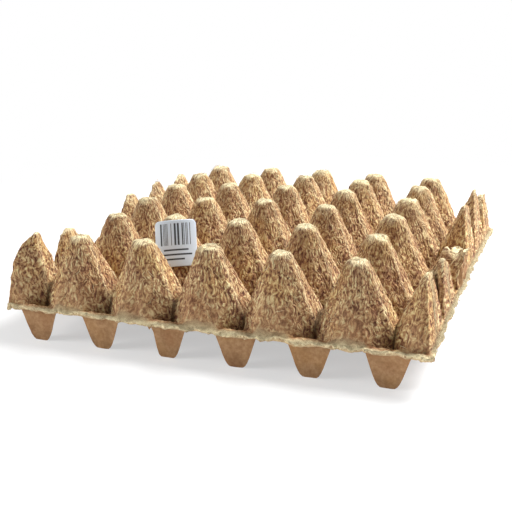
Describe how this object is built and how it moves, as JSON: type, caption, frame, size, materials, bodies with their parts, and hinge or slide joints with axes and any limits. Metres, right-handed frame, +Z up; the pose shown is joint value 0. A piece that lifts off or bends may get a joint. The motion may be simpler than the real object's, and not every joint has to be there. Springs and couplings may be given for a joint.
{
  "type": "egg tray",
  "caption": "Moulded-pulp egg tray lying upside down as a lid, with cone-shaped cups up, posts down, a bowed sheet, crushed side edges and a stuck-on paper label.",
  "frame": {"origin": "on the floor, under the middle of the tray's outline", "axes": "+Z up through the cups, +X along the rows of five cups, +Y from the front row to the back row"},
  "size_m": [0.2936, 0.2936, 0.0732],
  "materials": {
    "moulded_pulp": "rough felted kraft-brown pulp, smoother on the mould side",
    "label_paper": "smooth white sticker paper with printed bars"
  },
  "bodies": {
    "root": {"tray": "moulded_pulp", "paper_label": "label_paper"}
  },
  "joints": []
}
